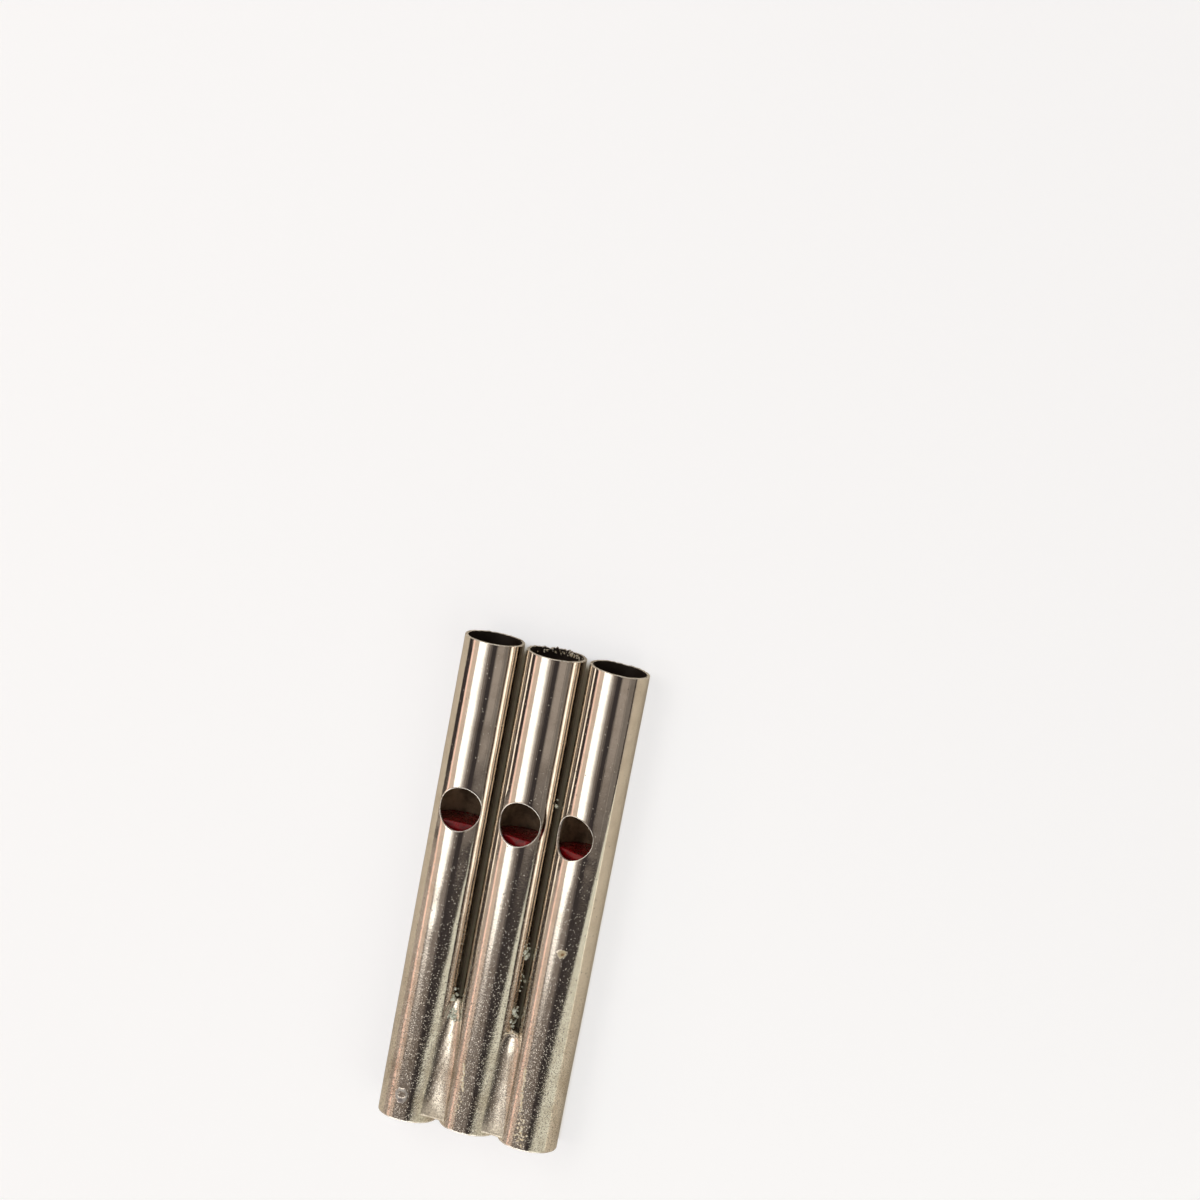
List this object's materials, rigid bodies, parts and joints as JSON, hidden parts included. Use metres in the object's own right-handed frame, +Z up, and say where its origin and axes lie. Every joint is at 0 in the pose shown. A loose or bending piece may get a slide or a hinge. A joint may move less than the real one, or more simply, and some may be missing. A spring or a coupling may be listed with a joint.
{
  "type": "bird whistle",
  "caption": "Small metal bird whistle: slender nickel-plated pipes soldered side by side, each with a round window and a red windway block.",
  "frame": {"origin": "under the middle of the whistle as it lies on its back: the bounding box's bottom centre", "axes": "+X across the row of pipes, from left to right in the picture; +Y along the pipes towards their open ends; +Z up, out of the windows"},
  "size_m": [0.019, 0.05, 0.006],
  "materials": {
    "nickel_plate": "bright nickel plate over brass, slightly tarnished, pitted towards the mouth end",
    "solder": "satin solder under the same plating, granular",
    "red_block": "deep red, glossy"
  },
  "bodies": {
    "root": {"tube_left": "nickel_plate", "tube_middle": "nickel_plate", "tube_right": "nickel_plate", "solder_left": "solder", "solder_right": "solder", "block_left": "red_block", "block_middle": "red_block", "block_right": "red_block"}
  },
  "joints": []
}
